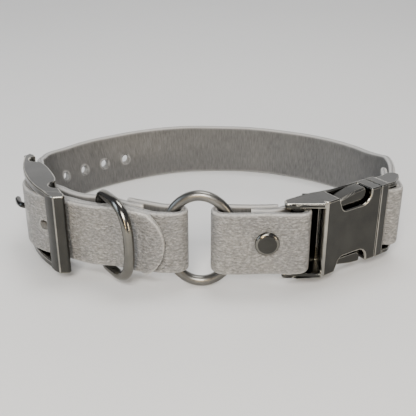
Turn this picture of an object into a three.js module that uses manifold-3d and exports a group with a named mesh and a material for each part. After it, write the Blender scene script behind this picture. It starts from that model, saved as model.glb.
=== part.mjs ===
// Flat adjustable pet collar: a 25 mm coated strap closed in one ring by a curved tongue buckle on the left
// and a curved side-release buckle on the right, with an oval ring and a D-ring at the front.
// Millimetres, +Z up, +Y towards the back of the neck. Layout coordinates have Y = 0 at the front ring;
// the group is then shifted so that the origin is under the middle of the collar.
import * as THREE from 'three';
import { mergeVertices } from 'three/addons/utils/BufferGeometryUtils.js';
import Module from 'manifold-3d';

const wasm = await Module();
wasm.setup();

// ---- driving dimensions ----
const originX = -0.1; // layout X of the collar's middle
const originY = 57.3; // layout Y of the collar's middle
const roundSides = 28; // sides of a turned part

const strapWide = 25;
const strapThick = 2.7;
const halfThick = strapThick / 2;
const frontLift = 7.3; // the front straps hang this far above the table
const freeEndLift = 0.5; // the long strap sits this much higher than the strap under it
const liftEndsY = 46; // forward of this the full lift applies
const liftStartsY = 88; // behind this the strap stands on its edge
const linkLift = 0.7; // the link strap hangs this much higher than the buckle strap
const midZ = frontLift + strapWide / 2 + 0.2; // height of the hardware's middle

const holeRadius = 2;
const holeReach = 2.4; // a hole's cutter runs this far to each side of the strap's middle
const holePitch = 12.3;
const tongueHole = 75.4; // length of strap from the free end to the hole in use
const tipRadius = 15.3;

const ringCentre = [-3, 0.5];
const ringYaw = -5;
const ringRadius = 18;
const ringNarrow = 0.745; // the ring is an oval, narrower than it is tall
const ringWire = 2;

const foldRadius = 3.65; // centre line of a strap folded round a 4 mm bar
const barRadius = 2;

const frameStart = [-56, 4]; // middle of the tongue buckle's front bar
const frameAlong = new THREE.Vector2(-0.438, 0.899).normalize();
const frameOut = new THREE.Vector2(-frameAlong.y, frameAlong.x);
const frameLength = 46.7;
const centreBarAt = 22;
const railThick = 2.9;
const frameBottom = 4.2;
const frameTop = 36.9;
const notchRadius = 3.4; // cut-outs in the rails' inner edges, beside the end bars
const tongueRadius = 1.25;
const tongueClear = 2.1; // radius of the hole that the tongue fills in the long strap
const eyeOuter = 3.9; // the tongue's eye round the centre bar
const eyeInner = barRadius + 0.3;
const eyeHalf = 2;
// The tongue's bend, in the tongue buckle's own plan coordinates.
const tonguePath = [
  [24.3, 2.2], [27.5, 1.6], [30.5, 1.8], [32.3, 3.4], [33.2, 5.6],
  [34.4, 7.4], [36.6, 8.1], [39.5, 8.1], [42.8, 7.7],
];

const dLeg = [-41.2, 9.8]; // the D-ring's straight leg
const dHalf = 15.5;
const dCorner = 4; // where an arm meets the leg
const dArm = 9; // the D's arms run straight this far, then its bow begins
const dDepth = 20.6;
const dYaw = -54;
const bowSquare = 0.8; // below 1 the bow is fuller than an ellipse

const seamFront = [67.4, 14.2]; // where the two halves of the side-release buckle meet, outer corner
const pushAlong = new THREE.Vector2(0.83, 0.557).normalize();
const bodyThick = 9.5;
const bodyBottom = 4.6;
const bodyTop = 36;
const bodyMid = (bodyBottom + bodyTop) / 2;
const wall = 1.5;
const capWall = 2.4;
const windowFrom = -21.6;
const windowTo = -5.1;
const notchDeep = 5.8;
const pivotAt = 1.5;
const pivotZ = 7; // pivots sit this far above and below the buckle's middle
const pinRadius = 0.8;
const pinPlay = 0.15;
const pinHole = pinRadius + pinPlay;
const plateThick = 2.1; // the side-release buckle's top and bottom plates beside its strap bars
const plateInset = 0.1;
const barInset = 0.5;
const insideFrom = -24; // how far the body's hollow reaches from the seam
const pocketDeep = 3.55; // the flange's hollow that the arms are hinged in
const femaleBar = [33.4, -0.6];
const maleBar = [73.2, 23.4];
const flangeThick = 4.4;
const maleAlong = new THREE.Vector2(0.39, 0.92).normalize();
const maleOut = new THREE.Vector2(maleAlong.y, -maleAlong.x);

const postHole = 2.3; // through the straps, round a post's barrel
const postRadius = 2;
const linkHole = 2.8;
const linkStack = 10.55; // thickness of the link strap's layers at its screw
const slotHalf = 2.5; // half height of the slot that the tongue stands in

// ---- materials ----
const strapLook = new THREE.MeshStandardMaterial({ color: 0x6d6d70, roughness: 0.62, metalness: 0 });
const metalLook = new THREE.MeshStandardMaterial({ color: 0x3a3a3d, roughness: 0.22, metalness: 1 });
const springLook = new THREE.MeshStandardMaterial({ color: 0x9a9a9c, roughness: 0.3, metalness: 1 });

// ---- solids ----
function toSolid(geometry) {
  const bare = geometry.clone();
  bare.deleteAttribute('normal');
  bare.deleteAttribute('uv');
  const merged = mergeVertices(bare, 1e-4);
  const vertProperties = new Float32Array(merged.attributes.position.array);
  const triVerts = new Uint32Array(merged.index.array);
  return new wasm.Manifold(new wasm.Mesh({ numProp: 3, vertProperties, triVerts }));
}

function toGeometry(solid) {
  const mesh = solid.getMesh();
  const geometry = new THREE.BufferGeometry();
  geometry.setAttribute('position', new THREE.BufferAttribute(mesh.vertProperties, 3));
  geometry.setIndex(new THREE.BufferAttribute(mesh.triVerts, 1));
  return geometry;
}

function prism(outline, z0, z1) {
  const shape = new THREE.Shape(outline.map(([x, y]) => new THREE.Vector2(x, y)));
  const geometry = new THREE.ExtrudeGeometry(shape, { depth: z1 - z0, bevelEnabled: false });
  return toSolid(geometry.translate(0, 0, z0));
}

// A part turned on the Y axis from its outline in (radius, height).
function turned(profile) {
  return new THREE.LatheGeometry(profile.map(([r, y]) => new THREE.Vector2(r, y)), roundSides);
}

// A round rod from one point to another.
function rod(from, to, radius, sides = 14) {
  const a = new THREE.Vector3(...from);
  const b = new THREE.Vector3(...to);
  const geometry = new THREE.CylinderGeometry(radius, radius, a.distanceTo(b), sides);
  const along = b.clone().sub(a).normalize();
  const turn = new THREE.Quaternion().setFromUnitVectors(new THREE.Vector3(0, 1, 0), along);
  geometry.applyQuaternion(turn);
  const middle = a.add(b).multiplyScalar(0.5);
  return toSolid(geometry.translate(middle.x, middle.y, middle.z));
}

// A round wire along a smooth path.
function wire(points, radius, steps, sides = 10) {
  const path = new THREE.CatmullRomCurve3(points.map((p) => new THREE.Vector3(...p)), false, 'centripetal');
  const section = new THREE.Shape().absarc(0, 0, radius, 0, Math.PI * 2);
  const settings = { steps, curveSegments: sides / 2, bevelEnabled: false, extrudePath: path };
  return new THREE.ExtrudeGeometry(section, settings);
}

function arc([cx, cy], radius, fromDeg, toDeg, count) {
  const points = [];
  for (let i = 0; i <= count; i += 1) {
    const angle = THREE.MathUtils.degToRad(fromDeg + ((toDeg - fromDeg) * i) / count);
    points.push([cx + radius * Math.cos(angle), cy + radius * Math.sin(angle)]);
  }
  return points;
}

// ---- straps ----
// A strap is drawn in plan along its centre line and stands on edge.
function strapCurve(points) {
  return new THREE.CatmullRomCurve3(points.map(([x, y]) => new THREE.Vector3(x, y, 0)), false, 'centripetal');
}

function strapPath(points) {
  const stepsPerSpan = 3;
  return strapCurve(points).getPoints(stepsPerSpan * (points.length - 1));
}

// Height of the strap's lower edge at a place along the collar.
function liftAt(y, extra) {
  return (frontLift + extra) * (1 - THREE.MathUtils.smoothstep(y, liftEndsY, liftStartsY));
}

// Four corners at each step along the line, joined by four long faces and closed at both ends.
function strapSolid(points, extra) {
  const line = strapPath(points);
  const positions = [];
  const index = [];
  line.forEach((p, i) => {
    const before = line[Math.max(i - 1, 0)];
    const after = line[Math.min(i + 1, line.length - 1)];
    const along = after.clone().sub(before).normalize();
    [[1, 0], [-1, 0], [-1, strapWide], [1, strapWide]].forEach(([side, z]) => {
      const x = p.x - along.y * halfThick * side;
      const y = p.y + along.x * halfThick * side;
      positions.push(x, y, z + liftAt(y, extra));
    });
    if (i === 0) return;
    for (let k = 0; k < 4; k += 1) {
      const a = (i - 1) * 4 + k;
      const b = (i - 1) * 4 + ((k + 1) % 4);
      index.push(a, b + 4, b, a, a + 4, b + 4);
    }
  });
  const last = (line.length - 1) * 4;
  index.push(0, 1, 2, 0, 2, 3, last, last + 2, last + 1, last, last + 3, last + 2);
  const geometry = new THREE.BufferGeometry();
  geometry.setAttribute('position', new THREE.Float32BufferAttribute(positions, 3));
  geometry.setIndex(index);
  return toSolid(geometry);
}

// ---- the tongue buckle's own plan coordinates: along from the front bar, and out from the neck ----
function onFrame(along, out) {
  return [
    frameStart[0] + frameAlong.x * along + frameOut.x * out,
    frameStart[1] + frameAlong.y * along + frameOut.y * out,
  ];
}

// ---- the side-release buckle's plan coordinates: p from the seam, positive towards the male half ----
function onBuckle(p, q) {
  return [
    seamFront[0] + pushAlong.x * p + pushAlong.y * q,
    seamFront[1] + pushAlong.y * p - pushAlong.x * q,
  ];
}

// ---- layers at the left of the front ring ----
// Each station is the middle of the base strap's outer layer, with the distances out to the free end,
// and in to the layer that comes back from the centre bar.
const stations = [
  { at: [-16.5, -2.25], free: 3.15 },
  { at: [-20, -1.7], free: 3.15 },
  { at: [-23.9, 0.5], free: 3.2 },
  { at: [-29, 3.5], free: 4, inner: 3.05 },
  { at: [-34.5, 5.2], free: 3.15, inner: 4.6 },
  { at: [-42.1, 6.2], free: 3.05, inner: 7.35 },
  { at: [-47.4, 8.2], free: 3.05 },
  { at: onFrame(4, -6.7), free: 3.05 },
  { at: onFrame(10, -2.1), free: 3.05 },
  { at: onFrame(16, 1.8), free: 3.05 },
  { at: onFrame(centreBarAt, foldRadius), free: 3.05 },
];

function beside(index, distance) {
  const before = stations[Math.max(index - 1, 0)].at;
  const after = stations[Math.min(index + 1, stations.length - 1)].at;
  const along = new THREE.Vector2(after[0] - before[0], after[1] - before[1]).normalize();
  const [x, y] = stations[index].at;
  return [x - along.y * distance, y + along.x * distance];
}

const screwStation = 3;
const centreBar = onFrame(centreBarAt, 0);
const frameAngle = THREE.MathUtils.radToDeg(Math.atan2(frameOut.y, frameOut.x));
const ringFoldLeft = [-12.4, 1.4];
const ringFoldRight = [6.25, -0.45];

function mainStrapPoints() {
  const free = stations.map((station, i) => beside(i, station.free));
  const throughBuckle = [
    onFrame(27, 6.5), onFrame(32, 4.4), onFrame(37.5, 0.8), onFrame(42, -2.9),
    onFrame(frameLength, -4.5),
  ];
  const neck = [
    [-74.4, 55], [-75.2, 62], [-74.8, 69], [-73.2, 75.3], [-69, 82.8], [-59, 94.8], [-47.9, 103.9],
    [-36.1, 111.4], [-23.7, 117.1], [-10.9, 120.7], [2.1, 122.1], [15.1, 121.7], [28.1, 119.3],
    [40.6, 115], [52.5, 108.9], [63.9, 100.6], [74.1, 89.6], [79.9, 77.6], [81.2, 66.5], [80.4, 56.4],
    [78.6, 43.4], [77.2, 37], [76.4, 32.3], [77, 28.3],
  ];
  const maleAngle = THREE.MathUtils.radToDeg(Math.atan2(maleOut.y, maleOut.x));
  const loop = arc(maleBar, foldRadius, maleAngle, maleAngle - 180, 6);
  const back = [[71.5, 28.6], [73.2, 33], [74.1, 37.8], [74.9, 42.2]];
  return [...free, ...throughBuckle, ...neck, ...loop, ...back];
}

const strapScrews = {
  link: { at: [21.8, -4.15], out: [0, -1], z: midZ + 1.6 },
  base: { at: stations[screwStation].at, out: outwardAtStation(screwStation), z: midZ },
  loop: { at: [77.9, 40.2], out: [0.975, -0.222], z: midZ },
};

function outwardAtStation(index) {
  const [x, y] = stations[index].at;
  const [fx, fy] = beside(index, 1);
  return [fx - x, fy - y];
}

function holeAcross([x, y], [ox, oy], z, radius, reach) {
  return rod([x + ox * reach, y + oy * reach, z], [x - ox * reach, y - oy * reach, z], radius, 12);
}

// Holes of the long strap, evenly spaced from the tongue towards the back of the neck.
function adjustmentHoles() {
  const path = strapCurve(mainStrapPoints());
  path.arcLengthDivisions = 800;
  const length = path.getLength();
  const holes = [];
  for (let n = -2; n <= 7; n += 1) {
    if (n === 0) continue;
    const u = (tongueHole + n * holePitch) / length;
    const p = path.getPointAt(u);
    const along = path.getTangentAt(u);
    const z = strapWide / 2 + liftAt(p.y, freeEndLift);
    holes.push(holeAcross([p.x, p.y], [-along.y, along.x], z, holeRadius, holeReach));
  }
  return holes;
}

// Cuts the free end to a round tip: a block over the end with a large round hole left in it.
function tipCutter() {
  const tip = beside(0, stations[0].free);
  const next = beside(1, stations[1].free);
  const along = new THREE.Vector2(tip[0] - next[0], tip[1] - next[1]).normalize();
  const out = new THREE.Vector2(along.y, -along.x);
  const corner = (u, v) => [tip[0] + along.x * u + out.x * v, tip[1] + along.y * u + out.y * v];
  const block = prism([corner(-8, -4), corner(1, -4), corner(1, 4), corner(-8, 4)], -2, strapWide + 2);
  const middle = strapWide / 2;
  const keep = rod([...corner(-tipRadius, -5), middle], [...corner(-tipRadius, 5), middle], tipRadius, 56);
  return block.subtract(keep);
}

function tongueWire(radius, z) {
  const steps = 22;
  return wire(tonguePath.map(([a, o]) => [...onFrame(a, o), z]), radius, steps);
}

function mainStrap() {
  let solid = strapSolid(mainStrapPoints(), freeEndLift);
  solid = solid.subtract(tipCutter());
  adjustmentHoles().forEach((hole) => {
    solid = solid.subtract(hole);
  });
  solid = solid.subtract(toSolid(tongueWire(tongueClear, midZ)));
  const { at, out, z } = strapScrews.loop;
  solid = solid.subtract(holeAcross(at, out, z, postHole, 9));
  return toGeometry(solid);
}

function buckleStrap() {
  const ringFold = arc(ringFoldLeft, foldRadius, 90, -90, 6);
  const innerReturn = [[-30.6, 11.5], [-27, 9.5], [-23.6, 8.05], [-20, 6.5], [-16.6, 5.4]];
  const outer = stations.map((station) => station.at);
  const barFold = arc(centreBar, foldRadius, frameAngle, frameAngle - 180, 6).slice(1);
  const inner = [
    [-58.6, 22.4], [-53.7, 17.9], [-47.6, 14.6],
    beside(5, -stations[5].inner), beside(4, -stations[4].inner), beside(3, -stations[3].inner),
    [-24.4, 5.05],
  ];
  let solid = strapSolid([...innerReturn, ...ringFold, ...outer, ...barFold, ...inner], 0);
  const { at, out, z } = strapScrews.base;
  solid = solid.subtract(holeAcross(at, out, z, postHole, 9.5));
  const slot = [onFrame(17.4, -6), onFrame(17.4, 6), onFrame(31, 6), onFrame(31, -6)];
  solid = solid.subtract(prism(slot, midZ - slotHalf, midZ + slotHalf));
  return toGeometry(solid);
}

function linkStrap() {
  const backEnd = [[26.3, 3.65], [21.8, 3.35], [16.5, 3.3], [12, 3.4]];
  const ringFold = arc(ringFoldRight, foldRadius + 0.25, 90, 270, 6);
  const front = [[13, -4.6], [18, -4.4], [21.8, -4.15], [28, -4.3]];
  const barFold = arc(femaleBar, foldRadius, -90, 90, 6);
  const middleEnd = [[30.6, 2.9], [28.2, 1.9], [26, 0.4], [23.6, -0.45], [20, -0.5], [16, -0.5]];
  let solid = strapSolid([...backEnd, ...ringFold, ...front, ...barFold, ...middleEnd], linkLift);
  const { at, out, z } = strapScrews.link;
  solid = solid.subtract(holeAcross(at, out, z, linkHole, 14));
  return toGeometry(solid);
}

// ---- rings ----
function oRing() {
  const geometry = new THREE.TorusGeometry(ringRadius, ringWire, 12, 44);
  geometry.scale(ringNarrow, 1, 1);
  geometry.rotateX(Math.PI / 2);
  geometry.rotateZ(THREE.MathUtils.degToRad(ringYaw));
  return geometry.translate(ringCentre[0], ringCentre[1], ringRadius + ringWire);
}

function dRing() {
  const cornerAt = dHalf - dCorner;
  const jointGap = 0.05; // half of the gap where the bent wire's two ends meet
  const points = [[0, jointGap], [0, cornerAt - 1]];
  points.push(...arc([dCorner, cornerAt], dCorner, 180, 90, 4));
  const bow = arc([0, 0], 1, 90, -90, 18);
  points.push(...bow.map(([u, v]) => [
    dArm + Math.max(u, 0) ** bowSquare * (dDepth - dArm),
    Math.sign(v) * Math.abs(v) ** bowSquare * dHalf,
  ]));
  points.push(...arc([dCorner, -cornerAt], dCorner, 270, 180, 4).slice(1));
  points.push([0, 1 - cornerAt], [0, -jointGap]);
  const turn = THREE.MathUtils.degToRad(dYaw);
  const placed = points.map(([u, v]) => [
    dLeg[0] + u * Math.cos(turn), dLeg[1] + u * Math.sin(turn), midZ + v,
  ]);
  return wire(placed, ringWire, 64);
}

// ---- tongue buckle ----
function railOutline() {
  const arch = [
    [-2.6, -0.6], [-1.2, 2.2], [4, 3.9], [12, 5.8], [23, 6.6], [34, 5.6], [42, 3.7],
    [47.6, 1.6], [49.4, -0.7],
  ];
  const outer = new THREE.SplineCurve(arch.map(([a, o]) => new THREE.Vector2(a, o)));
  const points = outer.getPoints(28).map((p) => [p.x, p.y]);
  points.push([47, -2], [45, -2]);
  points.push(...arc([41.3, -2.2], notchRadius, 0, 180, 8));
  points.push([35, -3.2], [29, -3.8], [22, -3.9], [17, -3.6]);
  points.push(...arc([10, -2.6], notchRadius, 0, 180, 8).filter(([a]) => a > 6.7));
  points.push([6.2, -2], [0.5, -2]);
  return points.map(([a, o]) => onFrame(a, o));
}

function endBar(at) {
  const outline = [];
  [[1, 1, 0], [-1, 1, 90], [-1, -1, 180], [1, -1, 270]].forEach(([sa, so, from]) => {
    outline.push(...arc([at + sa * 1.1, 0.2 + so * 0.6], 1.4, from, from + 90, 3));
  });
  return prism(outline.map(([a, o]) => onFrame(a, o)), frameBottom + 0.6, frameTop - 0.6);
}

function buckleFrame() {
  let solid = prism(railOutline(), frameBottom, frameBottom + railThick);
  solid = solid.add(prism(railOutline(), frameTop - railThick, frameTop));
  solid = solid.add(endBar(0)).add(endBar(frameLength));
  const middle = [...centreBar, frameBottom + 1];
  return toGeometry(solid.add(rod(middle, [...centreBar, frameTop - 1], barRadius, 16)));
}

function buckleTongue() {
  const eye = rod([...centreBar, midZ - eyeHalf], [...centreBar, midZ + eyeHalf], eyeOuter, 24);
  const bore = rod([...centreBar, midZ - 2 * eyeHalf], [...centreBar, midZ + 2 * eyeHalf], eyeInner, 24);
  return toGeometry(eye.add(toSolid(tongueWire(tongueRadius, midZ))).subtract(bore));
}

// ---- side-release buckle ----
function femaleBody() {
  const body = [
    [42.7, -2.5], [50, 2.9], [58.5, 8.7], onBuckle(0, 0), onBuckle(0, -bodyThick),
    [57.4, 18.9], [51, 13.9], [44.8, 10.9], [42.7, 10],
  ];
  const rail = [[28.2, -2.4], [29, -2.7], [43.4, -2.6], [43.4, 10.2], [38.7, 8.3], [34.6, 5.8], [28.2, 1.4]];
  let solid = prism(body, bodyBottom, bodyTop);
  solid = solid.add(prism(rail, bodyBottom, bodyBottom + plateThick));
  solid = solid.add(prism(rail, bodyTop - plateThick, bodyTop));
  const bar = [
    ...arc(femaleBar, barRadius, -90, 90, 8),
    ...arc([femaleBar[0] - 1, femaleBar[1]], barRadius, 90, 270, 8),
  ];
  solid = solid.add(prism(bar, bodyBottom + barInset, bodyTop - barInset));
  const backPlate = [[36.8, 5.9], [43.4, 8.7], [43.4, 10.2], [38.7, 8.3], [35.8, 6.6]];
  solid = solid.add(prism(backPlate, bodyBottom, bodyTop));
  const inside = [
    onBuckle(insideFrom, -wall), onBuckle(1, -wall),
    onBuckle(1, wall - bodyThick), onBuckle(insideFrom, wall - bodyThick),
  ];
  solid = solid.subtract(prism(inside, bodyBottom + capWall, bodyTop - capWall));
  const window = [
    onBuckle(windowFrom, 3), onBuckle(windowTo, 3),
    onBuckle(windowTo, wall - bodyThick), onBuckle(windowFrom, wall - bodyThick),
  ];
  solid = solid.subtract(prism(window, bodyTop - notchDeep, bodyTop + 2));
  solid = solid.subtract(prism(window, bodyBottom - 2, bodyBottom + notchDeep));
  return toGeometry(solid);
}

// The two ends of an arm's pin; a longer reach gives the ends of the hole that it sits in.
function pinEnds(sign, reach = 0) {
  const z = bodyMid + sign * pivotZ;
  const skin = 0.8 - reach;
  return [[...onBuckle(pivotAt, -skin), z], [...onBuckle(pivotAt, skin - bodyThick), z]];
}

function maleFrame() {
  const flange = [
    onBuckle(0.3, 0), onBuckle(flangeThick, -0.3),
    onBuckle(flangeThick, 0.4 - bodyThick), onBuckle(0.3, -bodyThick),
  ];
  const side = (along, out) => [
    maleBar[0] + maleAlong.x * along + maleOut.x * out,
    maleBar[1] + maleAlong.y * along + maleOut.y * out,
  ];
  const rail = [
    onBuckle(2, -0.6), side(-4, 2.4), side(2, 2.7), side(5, 2.2), side(6.2, 0), side(5, -2.4), side(0, -4.6),
    onBuckle(2, 1.2 - bodyThick),
  ];
  let solid = prism(flange, bodyBottom, bodyTop);
  solid = solid.add(prism(rail, bodyBottom + plateInset, bodyBottom + plateThick));
  solid = solid.add(prism(rail, bodyTop - plateThick, bodyTop - plateInset));
  const barEnds = [bodyBottom + barInset, bodyTop - barInset].map((z) => [...maleBar, z]);
  solid = solid.add(rod(...barEnds, barRadius, 16));
  const pocket = [
    onBuckle(-1, -wall), onBuckle(pocketDeep, -wall),
    onBuckle(pocketDeep, wall - bodyThick), onBuckle(-1, wall - bodyThick),
  ];
  solid = solid.subtract(prism(pocket, bodyBottom + capWall, bodyTop - capWall));
  [-1, 1].forEach((sign) => {
    const [a, b] = pinEnds(sign, pinPlay);
    solid = solid.subtract(rod(a, b, pinHole, 16));
  });
  return toGeometry(solid);
}

function armPin(sign) {
  const [a, b] = pinEnds(sign);
  return toGeometry(rod(a, b, pinRadius, 16));
}

// A plate outline in (p, height above the buckle's middle), swept through the buckle's thickness.
// The lower arm's plates are the upper arm's turned over, so their height and sweep are both reversed.
function buckledPlate(outline, qFrom, qTo, sign) {
  const points = outline.map(([p, h]) => new THREE.Vector2(p, h));
  const settings = { depth: qTo - qFrom, bevelEnabled: false };
  const geometry = new THREE.ExtrudeGeometry(new THREE.Shape(points), settings);
  const along = new THREE.Vector3(pushAlong.x, pushAlong.y, 0);
  const up = new THREE.Vector3(0, 0, sign);
  const sweep = along.clone().cross(up);
  geometry.applyMatrix4(new THREE.Matrix4().makeBasis(along, up, sweep));
  const [x, y] = onBuckle(0, sign > 0 ? qFrom : qTo);
  return toSolid(geometry.translate(x, y, bodyMid));
}

function latchArm(sign) {
  const boss = 1.8;
  const play = 0.3;
  const q0 = wall - bodyThick + play;
  const q1 = -wall - play;
  const body = [
    [-4, pivotZ - 2.6], [pivotAt, pivotZ - boss + 0.2], [pivotAt + 0.4, pivotZ + 1.6],
    [-4.6, pivotZ + 4.6], [-6.6, pivotZ + 5.2], [-6.8, 15.5], [-12, 15.5], [-19.4, 14.3],
    [-21, 12.2], [-21, 9.4], [-15, 8.6], [-9, 5.2],
  ];
  let solid = buckledPlate(body, q0, q1, sign);
  const z = bodyMid + sign * pivotZ;
  const hinge = (q) => [...onBuckle(pivotAt, q), z];
  solid = solid.add(rod(hinge(q0), hinge(q1), boss, 20));
  solid = solid.subtract(rod(hinge(q0 - 1), hinge(q1 + 1), pinHole, 16));
  const hollow = [[-18.4, 10.4], [-8.6, 8.2], [-8.6, 14.1], [-12, 14.1], [-18.4, 12.9]];
  const hollowDeep = 2.2;
  solid = solid.subtract(buckledPlate(hollow, q1 - hollowDeep, q1 + 1, sign));
  return toGeometry(solid);
}

function latchSpring() {
  const turns = 5;
  const perTurn = 10;
  const coilRadius = 1.9;
  const springWire = 0.4;
  const half = 3.65; // to the ends of the wire's centre line
  const [cx, cy] = onBuckle(-3.4, -bodyThick / 2);
  const points = [];
  for (let i = 0; i <= turns * perTurn; i += 1) {
    const angle = (i / perTurn) * Math.PI * 2;
    const z = bodyMid - half + (2 * half * i) / (turns * perTurn);
    points.push([cx + coilRadius * Math.cos(angle), cy + coilRadius * Math.sin(angle), z]);
  }
  return wire(points, springWire, turns * 12, 6);
}

// ---- screw posts ----
// Each pair is turned on its own axis, then set across the strap layers; depth 0 is the outer strap face.
function across(geometry, { at, out, z }, faceOffset) {
  const direction = new THREE.Vector3(-out[0], -out[1], 0).normalize();
  geometry.applyQuaternion(new THREE.Quaternion().setFromUnitVectors(new THREE.Vector3(0, 1, 0), direction));
  const x = at[0] + out[0] * (halfThick + faceOffset);
  const y = at[1] + out[1] * (halfThick + faceOffset);
  return geometry.translate(x, y, z);
}

// A flat head with a rounded rim.
function headedScrew(headRadius, headHigh, shankRadius, shankLong) {
  const rim = Math.min(0.55 * headHigh, 0.9);
  const rounded = arc([headRadius - rim, rim - headHigh], rim, -90, 0, 4);
  return turned([
    [0, -headHigh], ...rounded, [headRadius, 0], [shankRadius, 0], [shankRadius, shankLong], [0, shankLong],
  ]);
}

// A barrel that is open at the screw's end, with a flange at the other.
function post(flangeRadius, flangeHigh, barrelRadius, boreRadius, long, boreDeep) {
  return turned([
    [boreRadius, 0], [barrelRadius, 0], [barrelRadius, long],
    [flangeRadius, long], [flangeRadius, long + flangeHigh], [0, long + flangeHigh],
    [0, boreDeep], [boreRadius, boreDeep], [boreRadius, 0],
  ]);
}

const hardware = {
  link_screw: () => across(headedScrew(4.6, 1.6, 1.4, 6.5), strapScrews.link, 0.5),
  link_post: () => across(post(3.8, 1.1, 2.5, 1.6, linkStack, 7.2), strapScrews.link, -0.1),
  base_screw: () => across(headedScrew(3.5, 0.5, 1.1, 6), strapScrews.base, 0.45),
  base_post: () => across(post(3.6, 0.9, postRadius, 1.3, 9.25, 6.6), strapScrews.base, -0.1),
  loop_screw: () => across(headedScrew(3.6, 0.8, 1.1, 4), strapScrews.loop, 0.2),
  loop_post: () => across(post(3.6, 0.9, postRadius, 1.3, 6.2, 4.6), strapScrews.loop, -0.1),
};

// ---- the collar ----
const collar = new THREE.Group();
collar.name = 'adjustable_collar';

function place(name, geometry, material) {
  const mesh = new THREE.Mesh(geometry, material.clone());
  mesh.name = name;
  collar.add(mesh);
}

place('main_strap', mainStrap(), strapLook);
place('buckle_strap', buckleStrap(), strapLook);
place('link_strap', linkStrap(), strapLook);
place('o_ring', oRing(), metalLook);
place('d_ring', dRing(), metalLook);
place('buckle_frame', buckleFrame(), metalLook);
place('buckle_tongue', buckleTongue(), metalLook);
place('female_body', femaleBody(), metalLook);
place('male_frame', maleFrame(), metalLook);
place('upper_latch_arm', latchArm(1), metalLook);
place('lower_latch_arm', latchArm(-1), metalLook);
place('upper_arm_pin', armPin(1), metalLook);
place('lower_arm_pin', armPin(-1), metalLook);
place('latch_spring', latchSpring(), springLook);
Object.entries(hardware).forEach(([name, make]) => place(name, make(), metalLook));
collar.position.set(-originX, -originY, 0);

export default collar;
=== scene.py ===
import math
import bmesh
import bpy
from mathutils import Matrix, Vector, noise


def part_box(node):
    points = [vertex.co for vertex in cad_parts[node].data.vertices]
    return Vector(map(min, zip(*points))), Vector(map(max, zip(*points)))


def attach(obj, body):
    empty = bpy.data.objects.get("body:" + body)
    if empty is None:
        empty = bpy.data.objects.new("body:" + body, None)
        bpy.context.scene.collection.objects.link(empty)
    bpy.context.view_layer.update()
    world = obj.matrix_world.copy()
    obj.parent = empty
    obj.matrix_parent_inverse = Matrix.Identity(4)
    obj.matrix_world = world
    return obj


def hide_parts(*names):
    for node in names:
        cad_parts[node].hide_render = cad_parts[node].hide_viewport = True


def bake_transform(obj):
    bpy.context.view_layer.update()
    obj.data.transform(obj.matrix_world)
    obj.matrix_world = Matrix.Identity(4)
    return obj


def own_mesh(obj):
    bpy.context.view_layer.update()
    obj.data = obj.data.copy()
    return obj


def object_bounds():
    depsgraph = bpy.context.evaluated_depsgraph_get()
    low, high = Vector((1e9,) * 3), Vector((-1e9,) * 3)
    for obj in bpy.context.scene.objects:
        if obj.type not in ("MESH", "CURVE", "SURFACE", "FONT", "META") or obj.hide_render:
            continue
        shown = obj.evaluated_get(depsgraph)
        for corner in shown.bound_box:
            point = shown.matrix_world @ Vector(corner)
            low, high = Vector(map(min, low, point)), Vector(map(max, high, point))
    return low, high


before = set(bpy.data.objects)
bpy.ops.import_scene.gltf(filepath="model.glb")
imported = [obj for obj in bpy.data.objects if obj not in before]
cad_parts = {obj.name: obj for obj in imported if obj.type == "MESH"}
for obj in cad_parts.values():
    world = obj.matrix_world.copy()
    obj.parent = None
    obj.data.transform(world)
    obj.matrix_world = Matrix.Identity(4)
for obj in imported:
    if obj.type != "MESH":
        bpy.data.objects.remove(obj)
cad_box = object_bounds()

# ---- the layout that the CAD was drawn in: millimetres, Y = 0 at the front ring ----
RING_AT = (-3.0, 0.5, 20.0)
ring_low, ring_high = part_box("o_ring")
SHIFT = (ring_low + ring_high) / 2 - Vector([v / 1000 for v in RING_AT])


def place(x, y, z):
    """A point of the layout, in the row frame's metres."""
    return Vector((x / 1000, y / 1000, z / 1000)) + SHIFT


def unit(x, y):
    n = math.hypot(x, y)
    return (x / n, y / n)


def angle_of(way):
    return math.degrees(math.atan2(way[1], way[0]))


def plan_frame(origin, along, out):
    """A function that turns (distance along, distance out) into a point of the layout's plan."""
    def at(a, o):
        return (origin[0] + along[0] * a + out[0] * o, origin[1] + along[1] * a + out[1] * o)
    return at


MID = 20.0  # height of the middle of the rings and of the tongue
WIDE, HALF = 25.0, 1.35  # a strap's width, and half its thickness
FOLD = 3.65  # radius of a strap's centre line where it folds round a bar or a ring
BAR = 2.0  # radius of the bars and of the D-ring's and front ring's wire

# the tongue buckle: along its rails, and out from the collar
ALONG = unit(-0.438, 0.899)
OUT = (-ALONG[1], ALONG[0])
on_frame = plan_frame((-56.0, 4.0), ALONG, OUT)
CENTRE_BAR_ALONG, BACK_BAR_ALONG = 22.0, 46.7
CENTRE_BAR = on_frame(CENTRE_BAR_ALONG, 0)
FRAME_LOW, FRAME_HIGH, RAIL_THICK = 4.2, 36.9, 2.9

# the side-release buckle: along the way it pulls apart, from the seam between its halves
PUSH = unit(0.83, 0.557)
on_buckle = plan_frame((67.4, 14.2), PUSH, (PUSH[1], -PUSH[0]))
FEMALE_BAR = (33.4, -0.6)
BODY_THICK = 9.5
BODY_LOW, BODY_HIGH, BODY_MID = 4.6, 36.0, 20.3
PLATE, WALL, CAP, NOTCH = 2.1, 1.5, 2.4, 5.8

# its male half's strap bar
MALE_BAR = (73.2, 23.4)
MALE_ALONG = unit(0.39, 0.92)
MALE_OUT = (MALE_ALONG[1], -MALE_ALONG[0])
on_male = plan_frame(MALE_BAR, MALE_ALONG, MALE_OUT)

# the folds of the short straps round the front ring, and the D-ring's straight leg
RING_LEFT, RING_RIGHT = (-12.4, 1.4), (6.25, -0.45)
D_LEG = (-41.2, 9.8)

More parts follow.
